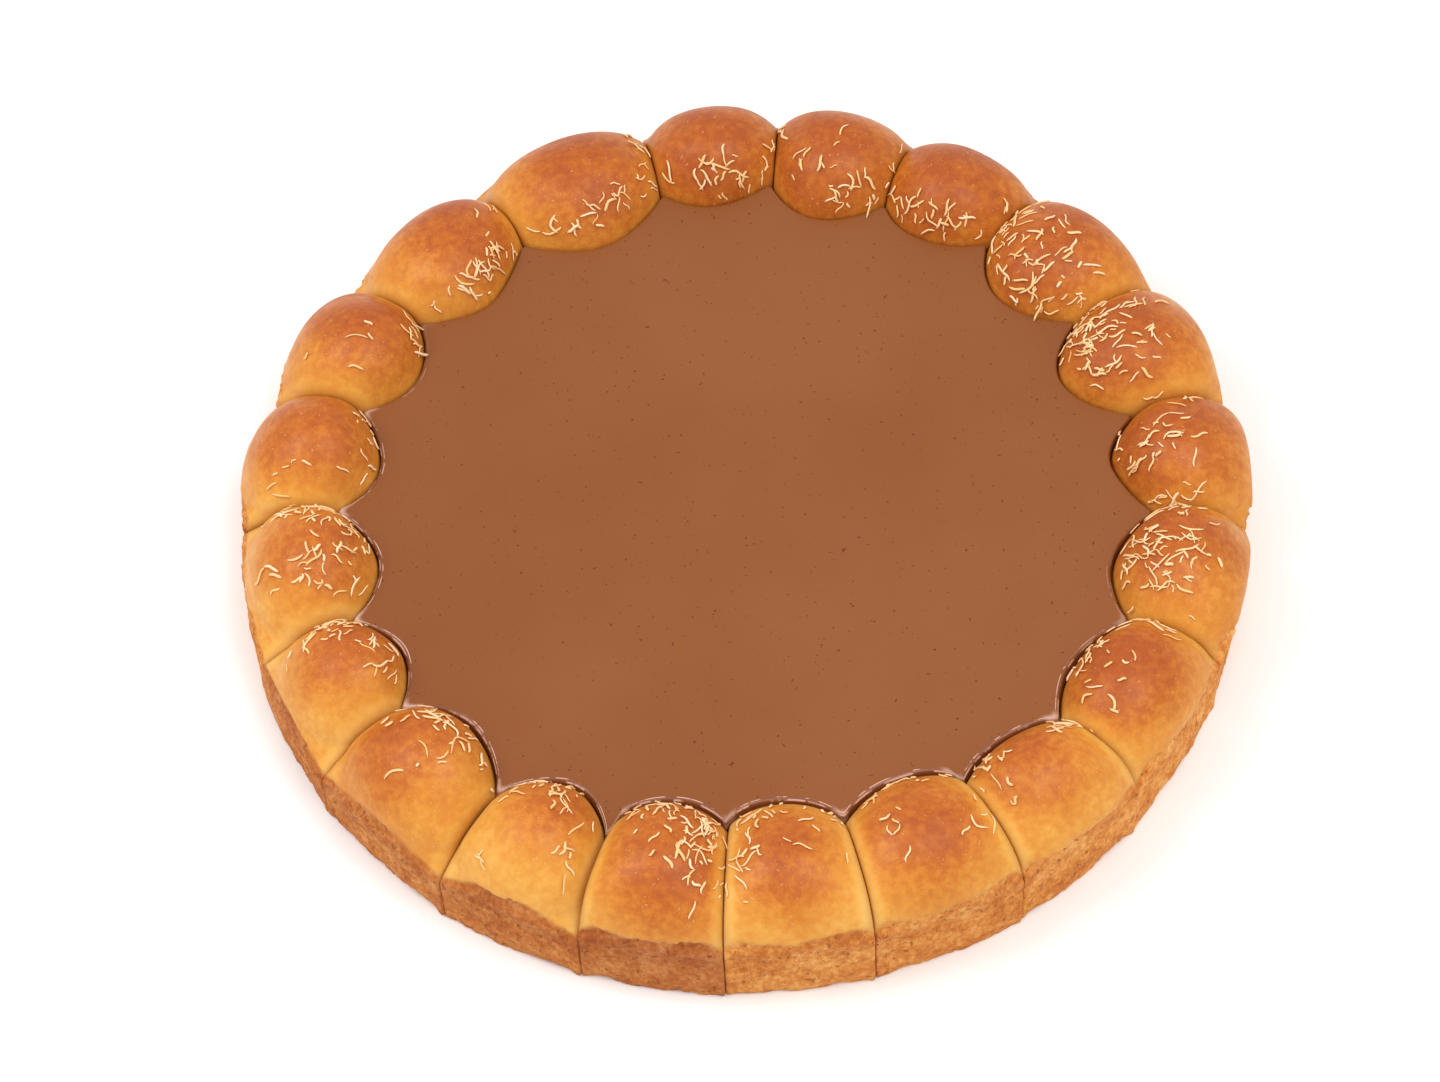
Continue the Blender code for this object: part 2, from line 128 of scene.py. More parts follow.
# How the oven browns each roll: how brown its flanks and its brownest place are,
# where that is, how far it reaches, and how the pan scorched its rough side. Part of
# this is painted shade: the flanks of rolls 6 to 9 are set browner, and the rough sides
# of rolls 12 to 15 more scorched.
BAKES = (
    Bake(0.42, 0.92, 88, 0, 84, 60, 0.3),
    Bake(0.42, 0.92, 88, -5, 84, 58, 0.3),
    Bake(0.42, 0.94, 90, 0, 84, 62, 0.2),
    Bake(0.30, 0.92, 84, -4, 76, 56, 0.2),
    Bake(0.26, 0.96, 76, -6, 74, 54, 0.1),
    Bake(0.32, 0.94, 78, -6, 76, 56, 0.1),
    Bake(0.28, 0.90, 83, -10, 67, 52, 0.1),
    Bake(0.20, 1.00, 84, 4, 60, 56, 0.1),
    Bake(0.16, 0.70, 76, 4, 60, 54, 0.2),
    Bake(0.16, 0.80, 90, 2, 64, 48, 0.3),
    Bake(0.10, 0.78, 92, 4, 54, 44, 0.3),
    Bake(0.18, 0.86, 90, -4, 72, 50, 1.0),
    Bake(0.08, 0.66, 72, -6, 52, 42, 0.9),
    Bake(0.22, 0.72, 92, 14, 72, 54, 0.8),
    Bake(0.12, 0.78, 84, 4, 62, 46, 0.9),
    Bake(0.12, 0.74, 84, -4, 62, 46, 0.4),
    Bake(0.18, 0.80, 96, 4, 66, 50, 0.3),
    Bake(0.22, 0.88, 96, 10, 74, 52, 0.3),
    Bake(0.24, 0.90, 98, 12, 76, 54, 0.3),
    Bake(0.30, 0.92, 96, 8, 80, 56, 0.3),
)
# How the brownness fades away from the brownest place, in shares of its reach
BROWNING_FADES = (0.15, 1.25)
# The least brown that a crust is, apart from its seams
LEAST_BROWN = 0.15
# A roll with flanks less brown than this is paler still towards its seams, between
# these shares of its half width: partly dough the oven reaches less, partly painted
# light that lifts the shade of the seams
PALE_UNDER = 0.4
PALE_GAIN = 3.0
SEAM_PALING_AND_LIGHT = (0.75, 0.97)
# Between these shares of its half width, a roll is painted darker towards its seams:
# painted shade in the creases
PAINTED_CREASE_SHADE = (0.86, 1.02)
# Between these, its relief gets weaker by so much
SEAM_RELIEF = (0.88, 1.00)
CALMED_BY = 0.8
# The rough side that stood against the pan, up to its rim
PAN_CONTACT = (0.90, 0.96)
PAN_RIM = (27.5 * MM, 29.5 * MM)
# At the sides and the back, by the cosine of the bearing, it ends lower, because the
# crust swelled over the rim
RIM_DROP = 5.0 * MM
DROPPED_FROM = (-0.45, -0.10)
# That side is scorched, with some painted shade, by this share low down, and in full
# above the second height
SINGED_AND_SHADED_LOW = 0.75
SINGED_AND_SHADED_FROM = (10.0 * MM, 23.0 * MM)

# Uneven numbers that scramble a place and a seed into chance
PLACE_WAVES = (127.1, 311.7, 74.7)
SEED_WAVE = 17.3
SCRAMBLE = 43758.5453
# Relief and ragged edges are layers of chance: how strong, how coarse and which seed
RAGGED_RIM = ((1.0 * MM, 5.0 * MM, 3), (0.8 * MM, 1.2 * MM, 5))
RAGGED_SINGE_AND_SHADE = ((4.0 * MM, 9.0 * MM, 17), (2.0 * MM, 2.5 * MM, 19))
# The rough side is torn this deep, with crumbs, lumps and pits
TORN_DEPTH = 0.75 * MM
TORN_RELIEF = ((-0.30 * MM, 1.3 * MM, 7), (-0.30 * MM, 3.5 * MM, 11), (-0.66 * MM, 10.0 * MM, 23))
PIT_DEPTH = 0.60 * MM
PITS = ((1.0, 1.9 * MM, 13),)
PIT_RANGE = (0.35, 0.75)
# Its foot is worn back further, in lumps
FOOT_HEIGHT = 5.0 * MM
FOOT_DEPTH = 0.8 * MM
FOOT_RELIEF = ((0.9 * MM, 6.0 * MM, 29),)
# The free crust is only dented, from a little above the floor
DENT_DEPTH = 0.12 * MM
DENTS = ((-0.12 * MM, 8.0 * MM, 2),)
DENTS_FROM = 1.5 * MM

Cluster = namedtuple("Cluster", "roll count rise lean rise_spread lean_spread")
# The shreds that fell together: on which roll, how many, round which place, how widely
CLUSTERS = (
    Cluster(1, 26, 54, 12, 11, 13),
    Cluster(1, 2, 64, -42, 4, 3),
    Cluster(1, 9, 84, 50, 16, 4),
    Cluster(2, 4, 104, -50, 12, 4),
    Cluster(2, 5, 56, -24, 12, 5),
    Cluster(2, 5, 78, -4, 8, 10),
    Cluster(2, 18, 50, 30, 9, 14),
    Cluster(2, 8, 92, 51, 16, 4),
    Cluster(3, 34, 50, 2, 9, 32),
    Cluster(3, 7, 90, 52, 18, 4),
    Cluster(4, 8, 66, -51, 12, 4),
    Cluster(4, 14, 92, -44, 14, 7),
    Cluster(4, 42, 76, 2, 20, 26),
    Cluster(4, 26, 47, 0, 9, 26),
    Cluster(5, 48, 80, 4, 20, 24),
    Cluster(5, 46, 50, -14, 10, 14),
    Cluster(5, 18, 68, -50, 14, 5),
    Cluster(6, 24, 70, 2, 16, 14),
    Cluster(6, 4, 104, -36, 8, 8),
    Cluster(6, 10, 82, 50, 20, 5),
    Cluster(6, 9, 40, 8, 5, 24),
    Cluster(7, 44, 82, 4, 14, 14),
    Cluster(7, 14, 80, -38, 16, 6),
    Cluster(7, 14, 52, 0, 7, 24),
    Cluster(7, 14, 98, 20, 16, 16),
    Cluster(8, 28, 60, 8, 10, 26),
    Cluster(8, 8, 76, -48, 14, 5),
    Cluster(8, 6, 92, 10, 8, 16),
    Cluster(9, 14, 80, -30, 10, 10),
    Cluster(9, 22, 68, 34, 16, 12),
    Cluster(10, 10, 86, 4, 22, 24),
    Cluster(10, 16, 44, 0, 6, 30),
    Cluster(10, 3, 107, -37, 6, 5),
    Cluster(11, 16, 80, 8, 16, 26),
    Cluster(11, 18, 50, 4, 7, 28),
    Cluster(11, 7, 98, 34, 12, 8),
    Cluster(12, 38, 82, -12, 18, 14),
    Cluster(12, 16, 62, -24, 8, 8),
    Cluster(12, 26, 50, -4, 7, 26),
    Cluster(12, 6, 114, -26, 10, 10),
    Cluster(12, 6, 90, -54, 20, 4),
    Cluster(13, 8, 92, -32, 20, 5),
    Cluster(13, 34, 60, 6, 13, 15),
    Cluster(13, 3, 132, 26, 5, 4),
    Cluster(14, 32, 62, 0, 11, 26),
    Cluster(14, 8, 100, 0, 10, 22),
    Cluster(15, 28, 94, 28, 18, 7),
    Cluster(15, 18, 62, -12, 12, 14),
    Cluster(16, 28, 86, 36, 22, 8),
    Cluster(16, 28, 66, 8, 14, 16),
    Cluster(16, 24, 92, -24, 22, 10),
    Cluster(17, 6, 112, -34, 14, 8),
    Cluster(17, 10, 52, 22, 9, 12),
    Cluster(17, 4, 50, -20, 8, 10),
    Cluster(18, 5, 88, -18, 14, 8),
    Cluster(18, 14, 46, 32, 8, 13),
    Cluster(19, 36, 50, 6, 9, 24),
    Cluster(19, 4, 92, 45, 6, 4),
    Cluster(20, 26, 50, 4, 8, 32),
    Cluster(20, 14, 92, 50, 20, 4),
)
# A shred's length at least, at most and mostly, and its width likewise
SHRED_LENGTHS = (0.8 * MM, 8.0 * MM, 2.4 * MM)
SHRED_WIDTHS = (0.38 * MM, 1.05 * MM, 0.55 * MM)
# How far it turns from the way up the crust, in radians, and how far it bends, as a
# share of its half length
SHRED_TURN = 0.9
SHRED_BEND = 0.18
# How sharply a shred is hooked at most, from where along it, and how many of them are
SHRED_HOOK = 1.5
HOOK_FROM = 0.1
HOOKED = 0.25
# The others are waved, by this share of the hook, over so many radians to each end
SHRED_WAVE = 0.12
WAVE_TURN = 3.0
# Its height as a share of its width, how much its ends taper and how suddenly
SHRED_FLATNESS = 0.7
END_TAPER = 0.5
END_SHARPNESS = 8
# How far its middle is raised, as a share of half its height, and how high it may lie
# on top of others
RAISED_BY = 0.6
SHRED_PILE = 0.25 * MM
# Shreds keep to these angles. One too near the filling is moved up by steps of the rise,
# and one that would stand more steeply than this is left out.
SHRED_RISES = (20.0, 140.0)
SHRED_LEANS = 62.0
SHRED_CLEARANCE = 1.0 * MM
RISE_STEP = 5.0
RISE_STEPS = 12
STEEPEST_SHRED = 1.2
# How far to both sides of the skin its resting place is looked for
SHRED_SEARCH = 9.0 * MM
SHRED_STATIONS = 7
SHRED_SIDES = 5
FIRST_SEED = 400

# The bread under the filling lies this far inside the rolls at all of these heights
BASE_HEIGHTS = (3.0 * MM, 8.0 * MM, 13.0 * MM, 18.0 * MM)
BASE_INSET = 0.7 * MM
BASE_EDGE = 0.6 * MM

# The lip of the filling stands off most from the rolls round this bearing, and least
# where the cosine from there falls below the first of these
LIP_STANDS_OFF = math.radians(165.0)
LIP_FRONT = (-0.3, 0.7)
# Its gap to the rolls and its width, each at least and what is added at the front
LIP_GAP = (0.1 * MM, 0.5 * MM)
LIP_WIDTH = (0.8 * MM, 0.2 * MM)
LIP_HEIGHT = 1.2 * MM
# The groove beside it, how far down the lip's side goes as a share of that, and how far
# the filling lies inside the rolls there and at its bottom
GROOVE_DEPTH = 2.6 * MM
LIP_SIDE = 0.8
GROOVE_INSET = 0.2 * MM
BOTTOM_INSET = 0.3 * MM
# Its sharp corners at the seams are rounded over so many steps to each side
CUSP_ROUNDING = 1
# The flat of the sheet: loops so far inside the lip, then shares of what is left
SHEET_INSETS = (1.0 * MM, 3.0 * MM, 7.0 * MM)
SHEET_SHARES = (0.8, 0.6, 0.4, 0.2, 0.05)
# The lip's coat, its painted highlights and its painted shade are strongest towards this
# bearing, by the cosine from there; the coat and the shade lie over a band of so many
# mm from its edge
MOST_GLISTENING = math.radians(205.0)
LIP_GLISTEN_RANGE = (-0.4, 0.5)
LIP_BAND = (0.8, 1.7)
# It glints in thin lines: how many mm each lies from the lip's edge, half its width, and
# how finely it is broken. A line is full up to a share of its half width, and broken
# where its noise is below the first value.
LIP_LINES = ((0.35, 0.26, 170.0), (1.2, 0.20, 230.0))
LINE_CORE = 0.4
LINE_BREAKS = (0.47, 0.56)
# At the seams the glint is a small patch, so far to each side and so many mm inwards
CUSP_REACH = (math.radians(0.3), math.radians(1.3))
CUSP_BAND = (0.9, 2.8)
# At the front, by the cosine of the bearing, that patch is weaker by this share
CUSP_SHADE = 0.5
CUSPS_SHADED = (0.70, 0.95)

# Fineness of the meshes
ROLL_CUTS = 59
STEPS_PER_ROLL = 44
LIP_STEPS = 7

# Colours, linear, over the share or the noise that they follow
CRUST_TINTS = (
    (0.00, (0.800, 0.460, 0.125)),
    (0.14, (0.740, 0.370, 0.070)),
    (0.30, (0.660, 0.265, 0.038)),
    (0.50, (0.570, 0.188, 0.024)),
    (0.72, (0.470, 0.122, 0.015)),
    (1.00, (0.370, 0.078, 0.013)),
)
FLECK_COLOUR = (0.80, 0.44, 0.18)
CREASE_SHADE_COLOUR = (0.420, 0.150, 0.022)
CRUMB_TINTS = (
    (0.38, (0.520, 0.150, 0.026)),
    (0.50, (0.710, 0.270, 0.052)),
    (0.62, (0.880, 0.450, 0.130)),
)
PIT_SHADE_COLOUR = (0.260, 0.060, 0.016)
SINGED_AND_SHADED_TINT = (0.60, 0.45, 0.48)
FILLING_TINTS = ((0.35, (0.222, 0.067, 0.015)), (0.65, (0.242, 0.077, 0.019)))
SPECK_COLOUR = (0.105, 0.020, 0.002)
LIP_SHADE_COLOUR = (0.170, 0.052, 0.026)
GLINT_COLOUR = (0.66, 0.40, 0.30)
CUSP_GLINT_COLOUR = (0.66, 0.44, 0.36)
SHRED_TINTS = (
    (0.0, (0.84, 0.47, 0.17)),
    (0.5, (0.91, 0.59, 0.29)),
    (1.0, (0.93, 0.67, 0.42)),
)
FLOOR_COLOUR = (0.92, 0.92, 0.92, 1.0)
WHITE = (1.0, 1.0, 1.0)
WARM_WHITE = (1.0, 0.98, 0.95)

# Fine patterns: how many to a metre, how detailed and, for some, how rough
CLOUDS = (80.0, 6.0, 0.6)
MOTTLES = (430.0, 3.0, 0.6)
FLECKS = (860.0, 1.0)
SKIN_GRAIN = (900.0, 3.0)
TORN_PATCHES = (120.0, 4.0, 0.65)
TORN_CRUMBS = (560.0, 4.0, 0.7)
TORN_PITS = (520.0, 2.0, 0.6)
STREAKS = (14.0, 3.0)
SPECKS = (760.0, 1.0)
RIPPLES = (45.0, 8.0, 0.6)
SHRED_GRAIN = (900.0, 2.0)
# A range of a pattern or a value, and what it is turned into
CLOUDS_TINT = (0.25, 0.75, -0.15, 0.15)
MOTTLES_TINT = (0.25, 0.75, -0.17, 0.17)
BROWNED_MOTTLING = (0.0, 0.9, 0.25, 1.0)
CLOUDS_SHINE = (0.3, 0.7, 0.36, 0.50)
FLECK_RANGE = (0.67, 0.75, 0.0, 0.3)
PIT_HOLLOWS = (0.31, 0.37, 0.6, 0.0)
SPECK_RANGE = (0.730, 0.765, 0.0, 0.8)
STREAKS_SHINE = (0.3, 0.7, 0.30, 0.38)
SHRED_GRAIN_TONE = (0.3, 0.7, 0.0, 0.2)
# How strongly these show
CREASE_SHADE_SHARE = 0.55
PATCHES_SHARE = 0.45
CRUMBS_SHARE = 0.55
PITS_DEPTH_SHARE = 0.5
SKIN_GRAIN_SHARE = 0.10
ROUGH_MATTNESS = 0.40
LIP_SHADE_SHARE = 0.5
LIP_COAT = 0.35
CUSP_GLINT_SHARE = 0.75
SHRED_TONE_SHARE = 0.8
# The pattern of torn crumb is a little taller than it is wide
CRUMB_STRETCH = (1.0, 1.0, 0.8)

# How deep the finest relief of the crust and crumb, the filling and the shreds looks
CRUST_BUMP = 0.6 * MM
FILLING_BUMP = 0.4 * MM
SHRED_BUMP = 0.1 * MM

# The camera, from a fit to the photograph's outline: how far it is and how steeply it
# looks down, its turn about its own axis, and the place on the floor that it looks at
CAMERA_DISTANCE = 1.30
CAMERA_DOWN = math.radians(56.0)
CAMERA_TURN = math.radians(-3.35)
CAMERA_TARGET = Vector((-8.3 * MM, 6.5 * MM, 0.0))
PICTURE_WIDTH = 1440.0
FOCAL_PIXELS = 4371.0
SENSOR_WIDTH = 36.0

# The studio: the strength of its white world, and for each soft light its place, its
# size in metres, its watts and its tint
SKY_STRENGTH = 0.78
KEY_LIGHT = ((0.4, -0.3, 1.2), 0.8, 8.0, WARM_WHITE)
OVERHEAD_LIGHT = ((-0.8, 0.0, 1.1), 0.6, 6.5, WHITE)
FLOOR_HALF = 4.0


def direction(bearing):
    """The outward and the clockwise direction at a bearing in degrees."""
    angle = math.radians(bearing)
    outward = np.array([math.sin(angle), math.cos(angle), 0.0])
    clockwise = np.array([math.cos(angle), -math.sin(angle), 0.0])
    return outward, clockwise


def middle_bearing(index):
    """The bearing of a roll's middle."""
    before = sum(roll.share for roll in ROLLS[:index])
    return FIRST_SEAM + before + ROLLS[index].share / 2


def heart_of(index):
    """A roll's heart, and the outward and the clockwise direction there."""
    outward, clockwise = direction(middle_bearing(index))
    return outward * HEART_RADIUS + UP * HEART_HEIGHT, outward, clockwise


def smooth_step(value, low, high):
    """0 below low, 1 above high and a smooth rise between them."""
    part = np.clip((value - low) / (high - low), 0.0, 1.0)
    return part * part * (3.0 - 2.0 * part)


def swell(index, out, side, up):
    """Slow hollows and swellings of a roll's skin, from -1 to 1."""
    return sum(strength * np.sin(outward * out + sideways * side + upward * up + phase * (index + 1))
               for strength, outward, sideways, upward, phase in SWELLINGS)


def wall_radius(index, height):
    """How far from the axis a roll meets the pan's wall, or bulges over its rim."""
    shift = PAN_SHIFT * math.cos(math.radians(middle_bearing(index) - PAN_SHIFT_BEARING))
    overhang = smooth_step(height, *OVERHANG_FROM)
    return PAN_RADIUS + shift + ROLLS[index].bulge * MM * overhang


def roll_form(index, radius, bearing_offset, height):
    """How full a roll is at a place: below 1 in its dough, 1 on its skin.

    The place is a radius from the bread's axis, a bearing in degrees from the
    roll's middle and a height, as numbers or as arrays of them.
    """
    roll = ROLLS[index]
    crown_swell = roll.crown * MM - HEART_HEIGHT
    level = (FILLING_LEVEL - HEART_HEIGHT) / crown_swell
    inward_swell = (HEART_RADIUS - roll.nose * MM) / math.sqrt(1.0 - level * level)

    out = radius - HEART_RADIUS
    up = height - HEART_HEIGHT
    pressed = 1.0 - smooth_step(height, *PRESSED_UP_TO)
    outward_swell = OUTWARD_SWELL + roll.bulge * MM
    outward_swell = outward_swell + (PRESSED_SWELL - outward_swell) * pressed
    out_part = np.where(out < 0.0, out / inward_swell, out / outward_swell)
    up_part = np.where(up < 0.0, up / DOWNWARD_SWELL, up / crown_swell)
    inner = np.clip(-out_part, 0.0, 1.0)
    half_share = roll.share / 2
    side = bearing_offset / half_share
    end_spread = np.where(out < 0.0, roll.bluntness, WALL_SPREAD + WALL_BLUNTNESS * roll.bluntness)
    spread = roll.spread + end_spread * np.minimum(out_part ** 2, 1.0)
    spread = spread + (PRESSED_SPREAD - spread) * pressed
    side_part = np.abs(side - roll.lean * inner * inner) / spread
    ball = np.sqrt(out_part ** 2 + up_part ** 2 + side_part ** 2)
    ball = ball * (1.0 + UNEVENNESS * swell(index, out_part, side, up_part))

    gap_share = np.degrees(0.5 * JOINT_GAP / radius)
    neighbours = np.abs(bearing_offset) / (half_share - gap_share)
    wall = np.maximum(out, 0.0) / (wall_radius(index, height) - HEART_RADIUS)
    floor = np.maximum(-up, 0.0) / HEART_HEIGHT

    limits = (ball, neighbours, wall, floor)
    return sum(limit ** EDGE_SHARPNESS for limit in limits) ** (1.0 / EDGE_SHARPNESS)


def bearing_from(index, places):
    """The bearings of places, measured from a roll's middle."""
    offset = np.degrees(np.arctan2(places[:, 0], places[:, 1])) - middle_bearing(index)
    return (offset + 180.0) % 360.0 - 180.0


def form_at(index, places):
    """How full a roll is at each place of an array."""
    radius = np.hypot(places[:, 0], places[:, 1])
    return roll_form(index, radius, bearing_from(index, places), places[:, 2])


def searched(goes_on, near, far, shape):
    """Just before and just beyond the place in each range where a test stops being true."""
    near = np.full(shape, near)
    far = np.full(shape, far)
    for _ in range(HALVINGS):
        middle = (near + far) / 2
        further = goes_on(middle)
        near = np.where(further, middle, near)
        far = np.where(further, far, middle)
    return near, far


def skin_points(index, directions):
    """Where rays from a roll's heart meet its skin, as an array of places."""
    heart, _, _ = heart_of(index)

    def in_dough(reach):
        return form_at(index, heart + directions * reach[:, None]) < 1.0

    reach, _ = searched(in_dough, 0.0, 2.0 * HEART_HEIGHT, len(directions))
    return heart + directions * reach[:, None]


def edge_radii(index, sides, height):
    """How far from the axis a roll's nose begins, at shares of its half width."""
    offsets = sides * ROLLS[index].share / 2

    def before_nose(radius):
        return roll_form(index, radius, offsets, height) > 1.0

    radii, _ = searched(before_nose, NOSE_BEYOND, HEART_RADIUS, len(sides))
    return radii


def well_outline(height):
    """The outline of the well inside the rolls at a height, as bearings and radii."""
    bearings = []
    radii = []
    for index, roll in enumerate(ROLLS):
        following = (index + 1) % len(ROLLS)
        half = STEPS_PER_ROLL / 2
        sides = (np.arange(1, STEPS_PER_ROLL) - half) / half
        read_at = np.clip(sides, -CORNER_SIDE, CORNER_SIDE)
        seam_ends = (edge_radii(index, np.array([CORNER_SIDE]), height)[0],
                     edge_radii(following, np.array([-CORNER_SIDE]), height)[0])
        bearings.extend(middle_bearing(index) + sides * roll.share / 2)
        radii.extend(edge_radii(index, read_at, height))
        bearings.append(middle_bearing(index) + roll.share / 2)
        radii.append(min(seam_ends))
    return np.radians(bearings), np.array(radii)


def chance_at(corners, seed):
    """A settled chance from -1 to 1 for each corner of a lattice."""
    mixed = np.sin(corners @ np.array(PLACE_WAVES) + SEED_WAVE * seed) * SCRAMBLE
    return 2.0 * (mixed - np.floor(mixed)) - 1.0


def texture(places, grain, seed):
    """Smooth chance from -1 to 1 over an array of places, in lumps of a size."""
    scaled = places / grain
    corner = np.floor(scaled)
    part = scaled - corner
    part = part * part * (3.0 - 2.0 * part)
    total = np.zeros(len(places))
    for step in np.ndindex(2, 2, 2):
        weights = np.where(np.array(step) == 1, part, 1.0 - part).prod(axis=1)
        total += weights * chance_at(corner + step, seed)
    return total


def layered(places, layers):
    """Layers of chance added up over an array of places."""
    return sum(strength * texture(places, grain, seed) for strength, grain, seed in layers)


def unit(vectors):
    """Vectors brought to a length of 1."""
    return vectors / np.linalg.norm(vectors, axis=1)[:, None]


def finished(mesh, name):
    """The mesh data of a bmesh, which is freed."""
    data = bpy.data.meshes.new(name)
    mesh.to_mesh(data)
    mesh.free()
    return data


def in_scene(name, data):
    """A new object in the scene, for the data of a mesh, a camera or a light."""
    made = bpy.data.objects.new(name, data)
    bpy.context.scene.collection.objects.link(made)
    return made


def add_piece(name, data, finish):
    """Put mesh data into the scene as a piece of the bread."""
    data.shade_smooth()
    data.materials.append(finish)
    piece = in_scene(name, data)
    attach(piece, "root")
    return piece


def add_values(data, name, values):
    """Give each vertex a value that its material reads."""
    data.attributes.new(name, "FLOAT", "POINT").data.foreach_set("value", values)


def places_of(data):
    """The places of a mesh's vertices, as an array."""
    places = np.empty(3 * len(data.vertices))
    data.vertices.foreach_get("co", places)
    return places.reshape(-1, 3)


def browning_and_painted_light(index, directions, side):
    """How brown a roll's crust is, from 0 to 1, with some painted light and shade in it.

    It is asked for in directions from the roll's heart, which meet the skin at
    shares of its half width.
    """
    _, outward, clockwise = heart_of(index)
    bake = BAKES[index]
    lean = np.degrees(np.arcsin(np.clip(directions @ clockwise, -1.0, 1.0)))
    rise = np.degrees(np.arctan2(directions[:, 2], -(directions @ outward)))
    away = np.hypot((rise - bake.rise) / bake.rise_reach, (lean - bake.lean) / bake.lean_reach)
    brown = bake.crown - (bake.crown - bake.flanks) * smooth_step(away, *BROWNING_FADES)
    # Paler towards the seams, partly as painted light that lifts their shade
    pale = np.clip(PALE_GAIN * (PALE_UNDER - bake.flanks), 0.0, 1.0)
    pale = pale * smooth_step(side, *SEAM_PALING_AND_LIGHT)
    return (LEAST_BROWN + (1.0 - LEAST_BROWN) * brown) * (1.0 - pale)


def pan_side(index, places):
    """Where a roll stood against the pan: 1 on its rough side, 0 on its free crust."""
    radius = np.hypot(places[:, 0], places[:, 1])
    contact = (radius - HEART_RADIUS) / (wall_radius(index, 0.0) - HEART_RADIUS)
    drop = RIM_DROP * smooth_step(places[:, 1] / radius, *DROPPED_FROM)
    below_rim = 1.0 - smooth_step(places[:, 2] + layered(places, RAGGED_RIM) + drop, *PAN_RIM)
    return smooth_step(contact, *PAN_CONTACT) * below_rim


def singed_and_shaded(index, places):
    """How much the rough side is darkened to a dusky tint, above all towards its rim, from 0 to 1:
    scorched by the pan, and on the rolls at the front left painted shade as well.
    """
    upper = smooth_step(places[:, 2] + layered(places, RAGGED_SINGE_AND_SHADE), *SINGED_AND_SHADED_FROM)
    return BAKES[index].singe * (SINGED_AND_SHADED_LOW + (1.0 - SINGED_AND_SHADED_LOW) * upper)


def dough_cube():
    """A finely divided cube, which is blown up to each roll's skin."""
    mesh = bmesh.new()
    bmesh.ops.create_cube(mesh, size=2.0)
    bmesh.ops.subdivide_edges(mesh, edges=mesh.edges, cuts=ROLL_CUTS, use_grid_fill=True)
    return finished(mesh, "dough")


def relief_depth(places, rough, side):
    """How far a roll's skin lies under its plain form: torn where rough, else dented."""
    pits = smooth_step(layered(places, PITS), *PIT_RANGE)
    torn = TORN_DEPTH + layered(places, TORN_RELIEF) + PIT_DEPTH * pits
    foot = 1.0 - smooth_step(places[:, 2], 0.0, FOOT_HEIGHT)
    torn = torn + (FOOT_DEPTH + layered(places, FOOT_RELIEF)) * foot
    smooth = (DENT_DEPTH + layered(places, DENTS)) * smooth_step(places[:, 2], 0.0, DENTS_FROM)
    sunk = np.maximum(rough * torn + (1.0 - rough) * smooth, 0.0)
    return sunk * (1.0 - CALMED_BY * smooth_step(side, *SEAM_RELIEF))


def roll_skin(index, cube):
    """A roll's skin with its relief, made from the cube, and the values of its crust."""
    _, outward, clockwise = heart_of(index)
    directions = unit(places_of(cube)) @ np.array([outward, clockwise, UP])
    places = skin_points(index, directions)
    rough = pan_side(index, places)
    side = np.abs(bearing_from(index, places)) / (ROLLS[index].share / 2)
    inward = -directions
    inward[:, 2] *= 1.0 - rough
    places = places + inward * relief_depth(places, rough, side)[:, None]

    data = cube.copy()
    data.vertices.foreach_set("co", places.ravel())
    add_values(data, "browned_and_painted_light", browning_and_painted_light(index, directions, side))
    add_values(data, "rough", rough)
    add_values(data, "singed_and_shaded", singed_and_shaded(index, places))
    # The painted shade of the creases, towards the seams
    add_values(data, "crease_shade", smooth_step(side, *PAINTED_CREASE_SHADE))
    return data


def build_rolls(crust):
    """The rolls of the ring, each in place of its solid."""
    cube = dough_cube()
    for index in range(len(ROLLS)):
        roll = add_piece(f"crust_{index + 1:02d}", roll_skin(index, cube), crust)
        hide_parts(f"roll_{index + 1:02d}")
    bpy.data.meshes.remove(cube)


def add_loop(mesh, edges, bearings, radii, height):
    """Draw the edges of a closed loop out into the next one, and lay it out there."""
    drawn = bmesh.ops.extrude_edge_only(mesh, edges=edges)
    verts = [part for part in drawn["geom"] if isinstance(part, bmesh.types.BMVert)]
    lay_out(verts, bearings, radii, height)
    in_loop = set(verts)
    return [part for part in drawn["geom"] if isinstance(part, bmesh.types.BMEdge)
            and in_loop.issuperset(part.verts)]


def lay_out(verts, bearings, radii, height):
    """Put the vertices of a loop at their bearings, radii and height."""
    for vert, bearing, radius in zip(verts, bearings, radii):
        vert.co = (radius * math.sin(bearing), radius * math.cos(bearing), height)


def stack_of_loops(bearings, loops):
    """A closed body over loops of radii and heights, the same bearings in each."""
    mesh = bmesh.new()
    first = bmesh.ops.create_circle(mesh, cap_ends=True, radius=1.0, segments=len(bearings))["verts"]
    lay_out(first, bearings, *loops[0])
    edges = list(mesh.edges)
    for radii, height in loops[1:]:
        edges = add_loop(mesh, edges, bearings, radii, height)
    bmesh.ops.edgeloop_fill(mesh, edges=edges)
    bmesh.ops.recalc_face_normals(mesh, faces=mesh.faces)
    return mesh


def build_base(crumb):
    """The bread under the filling."""
    outlines = [well_outline(height) for height in BASE_HEIGHTS]
    bearings = outlines[0][0]
    radii = np.min([outline[1] for outline in outlines], axis=0) - BASE_INSET
    top = FILLING_BOTTOM - JOINT_GAP
    loops = [(radii - BASE_EDGE, 0.0), (radii, BASE_EDGE),
             (radii, top - BASE_EDGE), (radii - BASE_EDGE, top)]
    base = add_piece("crumb_base", finished(stack_of_loops(bearings, loops), "base"), crumb)
    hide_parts("base")


def rounded_corners(radii):
    """The radii of an outline, drawn in at its sharp corners by a running mean."""
    width = 2 * CUSP_ROUNDING + 1
    around = np.concatenate((radii[-CUSP_ROUNDING:], radii, radii[:CUSP_ROUNDING]))
    return np.minimum(radii, np.convolve(around, np.ones(width) / width, mode="valid"))


